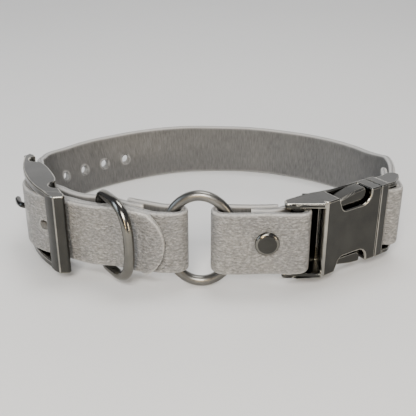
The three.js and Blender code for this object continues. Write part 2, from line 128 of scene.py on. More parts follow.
# the long strap's free end reaches a little further than the CAD's, and its holes count from the tongue
TIP_MORE = 0.9
HOLE_AT, HOLE_PITCH = 75.4 + TIP_MORE, 12.3
HOLES = (-2, -1, 1, 2, 3, 4, 5, 6, 7)
HOLE_MOVED = {-1: 4.0}


def arc(centre, radius, start, stop, count):
    out = []
    for i in range(count + 1):
        a = math.radians(start + (stop - start) * i / count)
        out.append((centre[0] + radius * math.cos(a), centre[1] + radius * math.sin(a)))
    return out


def smooth(t):
    t = max(0.0, min(1.0, t))
    return t * t * (3 - 2 * t)


def spline(points, per=12):
    """A centripetal Catmull-Rom curve through the points."""
    dims = len(points[0])
    first = [2 * points[0][k] - points[1][k] for k in range(dims)]
    last = [2 * points[-1][k] - points[-2][k] for k in range(dims)]
    ext = [first] + [list(p) for p in points] + [last]
    out = []
    for i in range(1, len(ext) - 2):
        p0, p1, p2, p3 = ext[i - 1:i + 3]
        d0 = max(math.dist(p0, p1), 1e-6) ** 0.5
        d1 = max(math.dist(p1, p2), 1e-6) ** 0.5
        d2 = max(math.dist(p2, p3), 1e-6) ** 0.5
        tangents = []
        for k in range(dims):
            t1 = ((p1[k] - p0[k]) / d0 - (p2[k] - p0[k]) / (d0 + d1) + (p2[k] - p1[k]) / d1) * d1
            t2 = ((p2[k] - p1[k]) / d1 - (p3[k] - p1[k]) / (d1 + d2) + (p3[k] - p2[k]) / d2) * d1
            tangents.append((t1, t2))
        for j in range(per):
            t = j / per
            row = []
            for k in range(dims):
                t1, t2 = tangents[k]
                c2 = -3 * p1[k] + 3 * p2[k] - 2 * t1 - t2
                c3 = 2 * p1[k] - 2 * p2[k] + t1 + t2
                row.append(p1[k] + t * (t1 + t * (c2 + t * c3)))
            out.append(row)
    out.append(list(points[-1]))
    return out


def even(line, step):
    """The same line with its points a fixed distance apart."""
    total = sum(math.dist(a, b) for a, b in zip(line, line[1:]))
    count = max(2, round(total / step))
    gap = total / count
    out = [list(line[0])]
    walked, target = 0.0, gap
    for a, b in zip(line, line[1:]):
        d = math.dist(a, b)
        while d > 0 and target <= walked + d + 1e-9 and len(out) < count:
            t = (target - walked) / d
            out.append([a[k] + (b[k] - a[k]) * t for k in range(len(a))])
            target += gap
        walked += d
    out.append(list(line[-1]))
    return out


def walked_along(line):
    """The distance walked at each point of the line."""
    out = [0.0]
    for a, b in zip(line, line[1:]):
        out.append(out[-1] + math.dist(a, b))
    return out


def rounded(outline, radii, steps=5):
    """The outline with its corners rounded; radii holds one radius for each corner, 0 for a sharp one."""
    out = []
    count = len(outline)
    for i, (corner, radius) in enumerate(zip(outline, radii)):
        if not radius:
            out.append(tuple(corner))
            continue
        c = Vector(corner)
        a = (Vector(outline[i - 1]) - c).normalized()
        b = (Vector(outline[(i + 1) % count]) - c).normalized()
        half_angle = a.angle(b) / 2
        reach = radius / math.tan(half_angle)
        centre = c + (a + b).normalized() * (radius / math.sin(half_angle))
        first = c + a * reach - centre
        last = c + b * reach - centre
        for k in range(steps + 1):
            t = k / steps
            spot = first * (1 - t) + last * t
            out.append(tuple(centre + spot.normalized() * radius))
    return out


# ---- meshes ----
def new_object(name, verts, faces, shade_smooth=True):
    mesh = bpy.data.meshes.new(name)
    mesh.from_pydata([tuple(v) for v in verts], [], faces)
    mesh.update()
    if shade_smooth:
        mesh.shade_smooth()
    obj = bpy.data.objects.new(name, mesh)
    bpy.context.scene.collection.objects.link(obj)
    return obj


def face_out(obj):
    """Makes every face of a closed mesh point outward."""
    work = bmesh.new()
    work.from_mesh(obj.data)
    bmesh.ops.recalc_face_normals(work, faces=work.faces)
    work.to_mesh(obj.data)
    work.free()


def side_faces(rings, sides, closed=False):
    """The faces that join each ring of points to the next, when the rings follow each other in the points."""
    faces = []
    for i in range(rings if closed else rings - 1):
        here, there = i * sides, (i + 1) % rings * sides
        for k in range(sides):
            after = (k + 1) % sides
            faces.append((here + k, here + after, there + after, there + k))
    return faces


def end_faces(rings, sides):
    return [tuple(reversed(range(sides))), tuple(range((rings - 1) * sides, rings * sides))]


def circle(centre, side, up, radius, sides):
    """Points round a centre. Here and below, a placed point is in metres, and a radius is in millimetres."""
    turns = [2 * math.pi * k / sides for k in range(sides)]
    return [centre + (side * math.cos(t) + up * math.sin(t)) * (radius / 1000) for t in turns]


def rod(a, b, radius, sides=28):
    """A round bar between two placed points."""
    axis = (b - a).normalized()
    side = axis.cross(Vector((0, 0, 1)) if abs(axis.z) < 0.9 else Vector((1, 0, 0))).normalized()
    up = axis.cross(side)
    verts = circle(a, side, up, radius, sides) + circle(b, side, up, radius, sides)
    obj = new_object("rod", verts, side_faces(2, sides) + end_faces(2, sides), False)
    face_out(obj)
    return obj


def upright(at, low, high, radius, sides=28):
    """A rod standing on a point of the plan, between two heights, in layout millimetres."""
    return rod(place(*at, low), place(*at, high), radius, sides)


def block(low, high):
    """A closed block between two outlines of placed points."""
    count = len(low)
    obj = new_object("block", low + high, end_faces(2, count) + side_faces(2, count), False)
    face_out(obj)
    return obj


def prism(outline, z0, z1):
    """A block standing on its plan outline, in layout millimetres."""
    return block([place(x, y, z0) for x, y in outline], [place(x, y, z1) for x, y in outline])


def buckle_plate(outline, q0, q1, sign):
    """A block through the buckle's thickness, on rows of (distance from the seam, height from the middle)."""
    def level(q):
        return [place(*on_buckle(p, q), BODY_MID + sign * h) for p, h in outline]
    return block(level(q0), level(q1))


def sweep(name, path, radius, sides, closed=False):
    """A round wire along a path of placed points; radius may be a list, one for each point."""
    count = len(path)
    verts = []
    normal = None
    for i, p in enumerate(path):
        if closed:
            along = (path[(i + 1) % count] - path[i - 1]).normalized()
        else:
            along = (path[min(i + 1, count - 1)] - path[max(i - 1, 0)]).normalized()
        if normal is None:
            normal = along.orthogonal().normalized()
        normal = (normal - along * normal.dot(along)).normalized()
        here = radius[i] if isinstance(radius, list) else radius
        verts += circle(p, normal, along.cross(normal), here, sides)
    faces = side_faces(count, sides, closed)
    if not closed:
        faces += end_faces(count, sides)
    return new_object(name, verts, faces)


def turned(name, profile, at, axis, sides):
    """A turned piece on a placed point: profile rows are (radius, distance along the axis)."""
    axis = Vector(axis).normalized()
    side = axis.orthogonal().normalized()
    up = axis.cross(side)
    verts = []
    for radius, depth in profile:
        verts += circle(at + axis * (depth / 1000), side, up, radius, sides)
    obj = new_object(name, verts, side_faces(len(profile), sides) + end_faces(len(profile), sides))
    face_out(obj)
    return obj


def apply_modifiers(obj):
    bpy.context.view_layer.update()
    graph = bpy.context.evaluated_depsgraph_get()
    mesh = bpy.data.meshes.new_from_object(obj.evaluated_get(graph))
    obj.modifiers.clear()
    old = obj.data
    obj.data = mesh
    bpy.data.meshes.remove(old)


def combine(obj, other, operation):
    mod = obj.modifiers.new("combine", "BOOLEAN")
    mod.operation = operation
    mod.solver = "EXACT"
    mod.object = other
    apply_modifiers(obj)
    bpy.data.objects.remove(other)


def cut(obj, cutter):
    combine(obj, cutter, "DIFFERENCE")


def join(obj, other):
    combine(obj, other, "UNION")


# ---- materials ----
class Nodes:
    """Short calls for building a node material."""

    def __init__(self, name):
        self.material = bpy.data.materials.new(name)
        self.material.use_nodes = True
        self.tree = self.material.node_tree
        self.shader = self.tree.nodes["Principled BSDF"]

    def add(self, kind, **values):
        """A new node; a value goes to the input of its name, spaces for underscores, or else to the setting."""
        node = self.tree.nodes.new(kind)
        for key, value in values.items():
            socket = key.replace("_", " ")
            if socket in node.inputs:
                node.inputs[socket].default_value = value
            else:
                setattr(node, key, value)
        return node

    def link(self, a, b):
        self.tree.links.new(a, b)

    def set(self, **values):
        """Links or sets the shader's inputs, with underscores for the spaces in their names."""
        for key, value in values.items():
            socket = self.shader.inputs[key.replace("_", " ")]
            if isinstance(value, float):
                socket.default_value = value
            else:
                self.link(value, socket)

    def where(self):
        return self.add("ShaderNodeTexCoord").outputs["Object"]

    def attribute(self, name):
        return self.add("ShaderNodeAttribute", attribute_name=name).outputs["Fac"]

    def noise(self, vector, scale, detail=3.0, rough=0.55):
        node = self.add("ShaderNodeTexNoise", Scale=scale, Detail=detail, Roughness=rough)
        self.link(vector, node.inputs["Vector"])
        return node.outputs["Fac"]

    def stretch(self, value, low, high, out_low=0.0, out_high=1.0):
        node = self.add("ShaderNodeMapRange", From_Min=low, From_Max=high, To_Min=out_low, To_Max=out_high)
        self.link(value, node.inputs["Value"])
        return node.outputs["Result"]

    def math(self, operation, a, b=0.0):
        node = self.add("ShaderNodeMath", operation=operation)
        for slot, value in ((0, a), (1, b)):
            if isinstance(value, (int, float)):
                node.inputs[slot].default_value = value
            else:
                self.link(value, node.inputs[slot])
        return node.outputs[0]

    def times(self, a, b):
        return self.math("MULTIPLY", a, b)

    def mix(self, factor, a, b):
        """Colour a turns into colour b as factor goes from 0 to 1."""
        node = self.add("ShaderNodeMix", data_type="RGBA")
        for slot, value in ((0, factor), (6, a), (7, b)):
            if isinstance(value, tuple):
                node.inputs[slot].default_value = (*value, 1.0)
            else:
                self.link(value, node.inputs[slot])
        return node.outputs[2]

    def bump(self, height, strength, distance, normal=None):
        node = self.add("ShaderNodeBump", Strength=strength, Distance=distance)
        self.link(height, node.inputs["Height"])
        if normal is not None:
            self.link(normal, node.inputs["Normal"])
        return node.outputs["Normal"]


def strap_material():
    """A pebbled, creased grey coating outside, a streaked back inside, paler cut edges that also carry a
    painted highlight, and hole rims with a painted highlight.
    """
    n = Nodes("coated_strap")
    where = n.where()
    along = n.attribute("along")
    height = n.attribute("height")
    cut_edge_and_highlight = n.attribute("cut_edge_and_highlight")
    inner = n.attribute("inner")
    worn = n.attribute("worn")
    holes = n.attribute("holes")

    def strap_space(a, h):
        """A place on the strap's own face, with the back apart from the front."""
        flat = n.add("ShaderNodeCombineXYZ")
        n.link(n.times(along, a), flat.inputs[0])
        n.link(n.times(height, h), flat.inputs[1])
        n.link(n.times(inner, 0.03), flat.inputs[2])
        return flat.outputs[0]

    streaks = n.noise(strap_space(1.0, 0.16), 1500.0, 4.0, 0.65)
    cloud = n.noise(where, 55.0, 3.0, 0.5)
    patch = n.noise(where, 230.0, 4.0, 0.6)
    speck = n.noise(where, 1500.0, 3.0, 0.65)
    crease = n.noise(strap_space(0.65, 1.45), 880.0, 5.0, 0.66)

    # the pebbles, pushed a little out of their even cells
    shift = n.add("ShaderNodeTexNoise", Scale=600.0)
    n.link(where, shift.inputs["Vector"])
    small = n.add("ShaderNodeVectorMath", operation="SCALE", Scale=0.0011)
    n.link(shift.outputs["Color"], small.inputs[0])
    bent = n.add("ShaderNodeVectorMath", operation="ADD")
    n.link(strap_space(0.85, 1.25), bent.inputs[0])
    n.link(small.outputs[0], bent.inputs[1])
    grain = n.add("ShaderNodeTexVoronoi", feature="SMOOTH_F1", Scale=1250.0, Smoothness=0.4)
    n.link(bent.outputs[0], grain.inputs["Vector"])
    pebble = grain.outputs["Distance"]

    # the adjustment holes have a pressed rim, made paler by a painted highlight; 10.5 pitches keep the
    # remainder positive and centred
    from_hole = n.math("ADD", along, (10.5 * HOLE_PITCH - HOLE_AT) / 1000)
    across = n.math("SUBTRACT", n.math("MODULO", from_hole, HOLE_PITCH / 1000), HOLE_PITCH / 2000)
    far = n.math("SQRT", n.math("ADD", n.times(across, across), n.times(height, height)))
    pressed_rim_and_highlight = n.times(n.stretch(far, 0.0023, 0.0032, 1.0, 0.0), holes)

    face = n.mix(n.stretch(cloud, 0.35, 0.68), (0.215, 0.214, 0.212), (0.278, 0.27, 0.25))
    face = n.mix(n.stretch(patch, 0.35, 0.72, 0.0, 0.22), face, (0.31, 0.296, 0.266))
    face = n.mix(n.stretch(speck, 0.46, 0.62, 0.0, 0.3), face, (0.14, 0.138, 0.134))
    face = n.mix(n.stretch(crease, 0.5, 0.62, 0.0, 0.6), face, (0.45, 0.442, 0.425))
    face = n.mix(n.times(n.stretch(pebble, 0.38, 0.75), 0.5), face, (0.085, 0.083, 0.08))
    face = n.mix(n.stretch(crease, 0.36, 0.45, 0.6, 0.0), face, (0.11, 0.108, 0.105))
    back = n.mix(n.stretch(streaks, 0.34, 0.66), (0.062, 0.061, 0.06), (0.118, 0.116, 0.112))
    back = n.mix(n.stretch(cloud, 0.4, 0.7, 0.0, 0.3), back, (0.14, 0.137, 0.13))
    colour = n.mix(inner, face, back)
    # pale cut edges, with a painted highlight on the rounded edge mixed into the same colour
    colour = n.mix(n.times(cut_edge_and_highlight, 0.8), colour, (0.43, 0.423, 0.41))
    # a painted highlight on the hole rims
    colour = n.mix(n.times(pressed_rim_and_highlight, 0.55), colour, (0.42, 0.41, 0.4))
    fray = n.times(worn, n.stretch(crease, 0.35, 0.6, 0.35, 1.0))
    colour = n.mix(n.times(fray, 0.85), colour, (0.66, 0.64, 0.6))

    outside = n.math("SUBTRACT", 1.0, inner)
    normal = n.bump(n.times(pebble, outside), 0.8, 0.0008)
    normal = n.bump(n.times(crease, outside), 0.7, 0.0012, normal)
    normal = n.bump(n.times(streaks, inner), 0.5, 0.0005, normal)
    normal = n.bump(pressed_rim_and_highlight, 0.5, 0.0004, normal)
    normal = n.bump(cloud, 0.5, 0.004, normal)
    rough = n.math("ADD", n.stretch(patch, 0.3, 0.7, 0.4, 0.55), n.times(cut_edge_and_highlight, 0.1))
    n.set(
        Base_Color=colour, Roughness=rough, Normal=normal,
        Specular_IOR_Level=0.5, Coat_Weight=0.15, Coat_Roughness=0.32,
    )
    return n.material


def metal_material(name, dark, light, rough_low, rough_high):
    """A metal that drifts between two colours, with fine scuffs that are paler and rougher."""
    n = Nodes(name)
    where = n.where()
    cloud = n.noise(where, 90.0, 3.0, 0.5)
    scuff = n.noise(where, 1100.0, 5.0, 0.7)
    colour = n.mix(n.stretch(cloud, 0.35, 0.7), dark, light)
    colour = n.mix(n.stretch(scuff, 0.66, 0.8, 0.0, 0.2), colour, (0.4, 0.38, 0.34))
    rough = n.stretch(scuff, 0.3, 0.75, rough_low, rough_high)
    n.set(Base_Color=colour, Metallic=1.0, Roughness=rough, Normal=n.bump(cloud, 0.1, 0.0008))
    return n.material


STRAP = strap_material()
METAL = metal_material("gunmetal", (0.043, 0.0425, 0.04), (0.062, 0.0605, 0.055), 0.16, 0.27)
# a brighter copy of the gunmetal: a painted highlight for the rounded edges
HIGHLIGHT_METAL = metal_material("gunmetal_painted_highlight", (0.2, 0.195, 0.178), (0.42, 0.4, 0.35), 0.12, 0.22)
WIRE = metal_material("gunmetal_wire", (0.13, 0.126, 0.114), (0.2, 0.193, 0.172), 0.12, 0.24)
RING = metal_material("satin_ring", (0.13, 0.127, 0.118), (0.22, 0.214, 0.198), 0.26, 0.42)
STEEL = metal_material("spring_steel", (0.5, 0.5, 0.5), (0.62, 0.61, 0.6), 0.25, 0.4)


def dress(obj, material, slot, body, *nodes):
    """Gives a piece its material, body (None if it blends) and the CAD nodes that it stands for; slot is not
    used.
    """
    if not obj.data.materials:
        obj.data.materials.append(material)
    if body:
        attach(obj, body)
    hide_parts(*nodes)


# ---- straps ----
STRAP_STEP = 0.9  # the distance between two sections of a strap
FACE_ROWS = 9
CORNER = 0.85  # radius of the section's four corners
CORNER_EDGE_AND_HIGHLIGHT = (1.0, 1.0, 1.0, 0.95, 0.8, 0.5, 0.25)  # how much a corner's points are pale cut edge with a painted highlight, from the top
EDGE_AND_HIGHLIGHT_FADE = ((0.35, 0.08), (1.0, 0.0))  # two points below it: how far down, and how much they are pale cut edge with a painted highlight
TIP_STEPS = (0.02, 0.12, 0.3, 0.6)  # close sections where the free end is rounded off
HOLED = (45, 168)  # the stretch of the long strap with holes
FRONT_LIFT, LIFT_START, LIFT_LONG = 7.3, 46, 42


def lift_at(y, extra):
    """How high a strap's lower edge is: lifted at the front, where the buckles carry it, down at the back."""
    return (FRONT_LIFT + extra) * (1 - smooth((y - LIFT_START) / LIFT_LONG))


def strap_ring(half_high, half_thick):
    """One section of a strap, as (distance to the side, height, how much of it is pale cut edge with a painted
    highlight).
    """
    corner = min(CORNER, half_high * 0.95, half_thick * 0.95)
    inner_high = half_high - corner
    side = []
    for j, weight in enumerate(CORNER_EDGE_AND_HIGHLIGHT):
        a = math.radians(90 - 90 * j / (len(CORNER_EDGE_AND_HIGHLIGHT) - 1))
        side.append((half_thick - corner + corner * math.cos(a), inner_high + corner * math.sin(a), weight))
    for depth, weight in EDGE_AND_HIGHLIGHT_FADE:
        side.append((half_thick, max(inner_high - depth, inner_high * 0.5), weight))
    rows = [1 - 2 * (k + 1) / (FACE_ROWS + 1) for k in range(FACE_ROWS)]
    face = [(half_thick, inner_high * row * 0.88, 0.0) for row in rows]
    half = side + face + [(s, -h, w) for s, h, w in reversed(side)]
    return half + [(-s, -h, w) for s, h, w in half]


WANDER = 0.055  # how often, for each mm, a strap's cut edges wander
RIPPLE, RIPPLE_RATE = 0.06, 0.12  # how far and how often its faces ripple
THIN_END, THIN_LONG = 0.25, 0.5  # how much thinner a cut end is, and over what length
FRAY_END = 0.45  # how far the wear reaches in from a strap's end
FRAY_EDGE, FRAY_TIP = 0.4, 5.0  # how far it reaches in from the rounded tip's edge, and along it
CURL_FROM = 3.0  # the flare starts this far below the strap's middle


def strap(name, points, extra, wave, inside, seed, tip=0.0, flare=None):
    """A strap standing on edge along its centre line.

    extra lifts it, wave is how far its cut edges wander, and inside is the side (1 or -1) its back is on.
    tip rounds the first end off with that radius, and flare(x, y) is how far the top edge curls outward.
    """
    line = even(spline(points), STRAP_STEP)
    spots = walked_along(line)
    whole = spots[-1]
    last = len(line) - 1

    def at(s):
        """The point at distance s along the line, and the way the line runs there."""
        k = min(max(int(s / whole * last), 0), last - 1)
        while k < last - 1 and spots[k + 1] < s:
            k += 1
        while k > 0 and spots[k] > s:
            k -= 1
        t = (s - spots[k]) / max(spots[k + 1] - spots[k], 1e-9)
        a, b = line[k], line[k + 1]
        before, after = line[max(k - 1, 0)], line[min(k + 2, last)]
        d1 = unit(b[0] - before[0], b[1] - before[1])
        d2 = unit(after[0] - a[0], after[1] - a[1])
        way = unit(d1[0] + (d2[0] - d1[0]) * t, d1[1] + (d2[1] - d1[1]) * t)
        return (a[0] + (b[0] - a[0]) * t, a[1] + (b[1] - a[1]) * t), way

    stations = spots
    if tip:
        stations = [*TIP_STEPS, *(s for s in spots if s > TIP_STEPS[-1] + 0.15)]
    verts, attrs = [], []
    for s in stations:
        (x, y), (dx, dy) = at(s)
        at_tip = tip and s < tip
        half_high = WIDE / 2
        if at_tip:
            half_high = min(half_high, math.sqrt(max(tip * tip - (tip - s) ** 2, 0.05)))
        top = wave * noise.noise(Vector((s * WANDER, seed, 0.3)))
        low = wave * noise.noise(Vector((s * WANDER, seed + 7.7, 1.3)))
        half_high += (top - low) / 2
        middle = lift_at(y, extra) + WIDE / 2 + (top + low) / 2
        to_end = min(s, whole - s)
        half_thick = HALF * (1 - THIN_END * math.exp(-to_end / THIN_LONG)) if to_end < 2 else HALF
        for side, h, cut_edge_and_highlight in strap_ring(half_high, half_thick):
            out = side + RIPPLE * noise.noise(Vector((s * RIPPLE_RATE, h * RIPPLE_RATE, seed + side)))
            if flare:
                out += flare(x, y) * smooth((h + CURL_FROM) / (WIDE / 2 + CURL_FROM))
            verts.append(place(x - dy * out, y + dx * out, middle + h))
            worn = math.exp(-to_end / FRAY_END)
            if at_tip:
                worn = max(worn, math.exp(-(half_high - abs(h)) / FRAY_EDGE) * smooth((tip - s) / FRAY_TIP))
            back = 1.0 if side * inside > 0 else 0.0
            holed = 1.0 if tip and HOLED[0] < s < HOLED[1] else 0.0
            attrs.append((s / 1000, h / 1000, cut_edge_and_highlight, back, worn, holed))
    sides = len(verts) // len(stations)
    obj = new_object(name, verts, side_faces(len(stations), sides) + end_faces(len(stations), sides))
    face_out(obj)
    for index, key in enumerate(("along", "height", "cut_edge_and_highlight", "inner", "worn", "holes")):
        attr = obj.data.attributes.new(key, "FLOAT", "POINT")
        attr.data.foreach_set("value", [row[index] for row in attrs])
    return obj


# the left front: points of the buckle strap's layer there, and how far beside it the long strap runs
STATIONS = [
    ((-16.5, -2.25), 3.15), ((-20, -1.7), 3.15), ((-23.9, 0.5), 3.2), ((-29, 3.5), 4.0), ((-34.5, 5.2), 3.15),
    ((-42.1, 6.2), 3.05), ((-47.4, 8.2), 3.05), (on_frame(4, -6.7), 3.05), (on_frame(10, -2.1), 3.05),
    (on_frame(16, 1.8), 3.05), (on_frame(CENTRE_BAR_ALONG, FOLD), 3.05),
]


def beside(index, distance):
    before = STATIONS[max(index - 1, 0)][0]
    after = STATIONS[min(index + 1, len(STATIONS) - 1)][0]
    dx, dy = unit(after[0] - before[0], after[1] - before[1])
    x, y = STATIONS[index][0]
    return (x - dy * distance, y + dx * distance)


def neck_flare(x, y):
    """The long strap's top edge curls outward round the back left of the neck."""
    return 4.2 * smooth((y - 62) / 20) * smooth((25 - x) / 75)


FRAME_ANGLE = angle_of(OUT)
MALE_ANGLE = angle_of(MALE_OUT)

# the long strap, from its free end through the tongue buckle and round the neck to the male half's bar
main_points = [beside(i, apart) for i, (_, apart) in enumerate(STATIONS)]
(tip_x, tip_y), (next_x, next_y) = main_points[:2]
tip_way = unit(tip_x - next_x, tip_y - next_y)
main_points[0] = (tip_x + tip_way[0] * TIP_MORE, tip_y + tip_way[1] * TIP_MORE)
main_points += [on_frame(*p) for p in ((27, 6.5), (32, 4.4), (37.5, 0.8), (42, -2.9), (BACK_BAR_ALONG, -4.5))]
main_points += [
    (-74.4, 55), (-75.2, 62), (-74.8, 69), (-73.2, 75.3), (-69, 82.8), (-59, 94.8), (-47.9, 103.9),
    (-36.1, 111.4), (-23.7, 117.1), (-10.9, 120.7), (2.1, 122.1), (15.1, 121.7), (28.1, 119.3), (40.6, 115),
    (52.5, 108.9), (63.9, 100.6), (74.1, 89.6), (79.9, 77.6), (81.2, 66.5), (80.4, 56.4), (78.6, 43.4),
    (77.2, 37), (76.4, 32.3), (77, 28.3),
]
main_points += arc(MALE_BAR, FOLD, MALE_ANGLE, MALE_ANGLE - 180, 6)
main_points += [(71.5, 28.6), (73.2, 33), (74.1, 37.8), (74.9, 42.2)]

# the buckle strap, from its inner end round the front ring, out to the centre bar, and back inside
buckle_points = [(-30.6, 11.5), (-27, 9.5), (-23.6, 8.05), (-20, 6.5), (-16.6, 5.4)]
buckle_points += arc(RING_LEFT, FOLD, 90, -90, 6)
buckle_points += [at for at, _ in STATIONS]
buckle_points += arc(CENTRE_BAR, FOLD, FRAME_ANGLE, FRAME_ANGLE - 180, 6)[1:]
buckle_points += [(-58.6, 22.4), (-53.7, 17.9), (-47.6, 14.6)]
buckle_points += [beside(5, -7.35), beside(4, -4.6), beside(3, -3.05), (-24.4, 5.05)]

# the link strap, round the front ring and the female half's bar
link_points = [(26.3, 3.65), (21.8, 3.35), (16.5, 3.3), (12, 3.4)]
link_points += arc(RING_RIGHT, FOLD + 0.25, 90, 270, 6)
link_points += [(13, -4.6), (18, -4.4), (21.8, -4.15), (28, -4.3)]
link_points += arc(FEMALE_BAR, FOLD, -90, 90, 6)
link_points += [(30.6, 2.9), (28.2, 1.9), (26, 0.4), (23.6, -0.45), (20, -0.5), (16, -0.5)]

# the buckle's tongue, from its eye over the frame's back bar
TONGUE = [
    (24.3, 2.2), (27.5, 1.6), (30.5, 1.8), (32.3, 3.4), (33.2, 5.6), (34.4, 7.4), (36.6, 8.1), (39.5, 8.1),
    (42.8, 7.7),
]
TONGUE_STEP = 0.35
tongue_line = [place(*on_frame(a, o), MID) for a, o in even(spline(TONGUE, 8), TONGUE_STEP)]

MAIN_EXTRA = 0.5
HOLE_REACH, HOLE_RADIUS = 2.4, 2.0
main_strap = strap(
    "neck_strap", main_points, MAIN_EXTRA, wave=0.35, inside=-1, seed=2.0, tip=15.3, flare=neck_flare)
fine = spline(main_points, 24)
walk = walked_along(fine)
for hole in HOLES:
    target = HOLE_AT + hole * HOLE_PITCH + HOLE_MOVED.get(hole, 0.0)
    k = min(range(len(walk)), key=lambda i: abs(walk[i] - target))
    dx, dy = unit(fine[k + 1][0] - fine[k - 1][0], fine[k + 1][1] - fine[k - 1][1])
    x, y = fine[k]
    z = WIDE / 2 + lift_at(y, MAIN_EXTRA)
    inner_end = place(x - dy * HOLE_REACH, y + dx * HOLE_REACH, z)
    outer_end = place(x + dy * HOLE_REACH, y - dx * HOLE_REACH, z)
    cut(main_strap, rod(inner_end, outer_end, HOLE_RADIUS))
tongue_hole = sweep("tongue_hole", tongue_line, 2.2, 20)
face_out(tongue_hole)
cut(main_strap, tongue_hole)
dress(main_strap, STRAP, "strap", None, "main_strap")
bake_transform(main_strap)

buckle_strap = strap("short_strap", buckle_points, 0.0, wave=0.3, inside=-1, seed=5.0)
tongue_slot = [on_frame(17.4, -6), on_frame(17.4, 6), on_frame(31, 6), on_frame(31, -6)]
cut(buckle_strap, prism(tongue_slot, MID - 2.5, MID + 2.5))
dress(buckle_strap, STRAP, "strap", "collar", "buckle_strap")

SCREW_AT, SCREW_HIGH = (21.8, -4.15), MID + 1.6
link_strap = strap("link_strap_skin", link_points, 0.7, wave=0.3, inside=1, seed=9.0)
cut(link_strap, rod(place(SCREW_AT[0], 12, SCREW_HIGH), place(SCREW_AT[0], -10, SCREW_HIGH), 2.8))
dress(link_strap, STRAP, "strap", "collar", "link_strap")

# ---- rings ----
RING_HIGH, RING_SHAPE, RING_YAW, RING_STEPS = 18, 0.745, math.radians(-5), 96
ring_path = []
for k in range(RING_STEPS):
    t = 2 * math.pi * k / RING_STEPS
    u, v = RING_HIGH * RING_SHAPE * math.cos(t), RING_HIGH * math.sin(t)
    x, y, z = RING_AT
    ring_path.append(place(x + u * math.cos(RING_YAW), y + u * math.sin(RING_YAW), z + v))
front_ring = sweep("front_ring", ring_path, BAR, 24, closed=True)
dress(front_ring, RING, "hardware", "o_ring", "o_ring")

# the D: a straight leg with a butt joint, two round corners, and a bow a little squarer than an ellipse
D_HALF, D_ARM, D_DEPTH, D_CORNER, D_SQUARE = 15.5, 9.0, 20.6, 4.0, 0.8
D_LEG_HALF, D_JOINT, D_YAW = 10.5, 0.05, math.radians(-54)
d_points = [(0, D_JOINT), (0, D_LEG_HALF)]
d_points += arc((D_CORNER, D_HALF - D_CORNER), D_CORNER, 180, 90, 4)
for k in range(19):
    a = math.radians(90 - 10 * k)
    d_points.append((
        D_ARM + max(math.cos(a), 0) ** D_SQUARE * (D_DEPTH - D_ARM),
        math.copysign(abs(math.sin(a)) ** D_SQUARE, math.sin(a)) * D_HALF,
    ))
d_points += arc((D_CORNER, D_CORNER - D_HALF), D_CORNER, 270, 180, 4)[1:]
d_points += [(0, -D_LEG_HALF), (0, -D_JOINT)]
d_path = [
    place(D_LEG[0] + u * math.cos(D_YAW), D_LEG[1] + u * math.sin(D_YAW), MID + v)
    for u, v in even(spline(d_points, 10), 0.9)
]
tag_ring = sweep("tag_ring", d_path, BAR, 22)
dress(tag_ring, WIRE, "hardware", "d_ring", "d_ring")


# ---- cast metal pieces: blocks joined and cut, then every edge rounded ----
FLAT_ANGLE, BEVEL_ANGLE, CRISP_ANGLE = math.radians(1), math.radians(35), math.radians(50)


def soften_edges(obj, width):
    work = bmesh.new()
    work.from_mesh(obj.data)
    bmesh.ops.remove_doubles(work, verts=work.verts, dist=0.00003)
    bmesh.ops.dissolve_limit(work, angle_limit=FLAT_ANGLE, verts=work.verts, edges=work.edges)
    work.to_mesh(obj.data)
    work.free()
    bevel = obj.modifiers.new("bevel", "BEVEL")
    bevel.width = width / 1000
    bevel.segments = 4
    bevel.limit_method = "ANGLE"
    bevel.angle_limit = BEVEL_ANGLE
    bevel.use_clamp_overlap = False
    # the rounded edges take slot 1, the brighter metal of a painted highlight
    bevel.material = 1
    apply_modifiers(obj)


def finish_metal(obj, body, node):
    """Smooth shading that stays crisp at hard corners; the piece keeps the two metals from named()."""
    obj.data.shade_smooth()
    obj.data.set_sharp_from_angle(angle=CRISP_ANGLE)
    level = obj.modifiers.new("level", "WEIGHTED_NORMAL")
    level.weight = 100
    level.keep_sharp = True
    dress(obj, METAL, "hardware", body, node)


def named(obj, name):
    """Names a piece and gives it two slots: the flats' metal, and the brighter metal of a painted highlight on
    its rounded edges.
    """
    obj.name = name
    obj.data.name = name
    obj.data.materials.append(METAL)
    obj.data.materials.append(HIGHLIGHT_METAL)
    return obj


# the curved tongue buckle's frame: two arched rails with a cut-out at each end, and three bars
arch = [
    (-2.6, -0.6), (-1.2, 2.2), (4, 3.9), (12, 5.8), (23, 6.6), (34, 5.6), (42, 3.7), (47.6, 1.6),
    (49.4, -0.7),
]
rail = even(spline(arch, 6), 1.6)
rail += [(47, -2), (45, -2)] + arc((41.3, -2.2), 3.4, 0, 180, 10)
rail += [(35, -3.2), (29, -3.8), (22, -3.9), (17, -3.6)]
rail += [p for p in arc((10, -2.6), 3.4, 0, 180, 10) if p[0] > 6.7] + [(6.2, -2), (0.5, -2)]
rail = [on_frame(*p) for p in rail]
curved_frame = named(prism(rail, FRAME_LOW, FRAME_LOW + RAIL_THICK), "curved_frame")
upper_rail = named(prism(rail, FRAME_HIGH - RAIL_THICK, FRAME_HIGH), "upper_rail")
soften_edges(curved_frame, 0.6)
soften_edges(upper_rail, 0.6)
join(curved_frame, upper_rail)

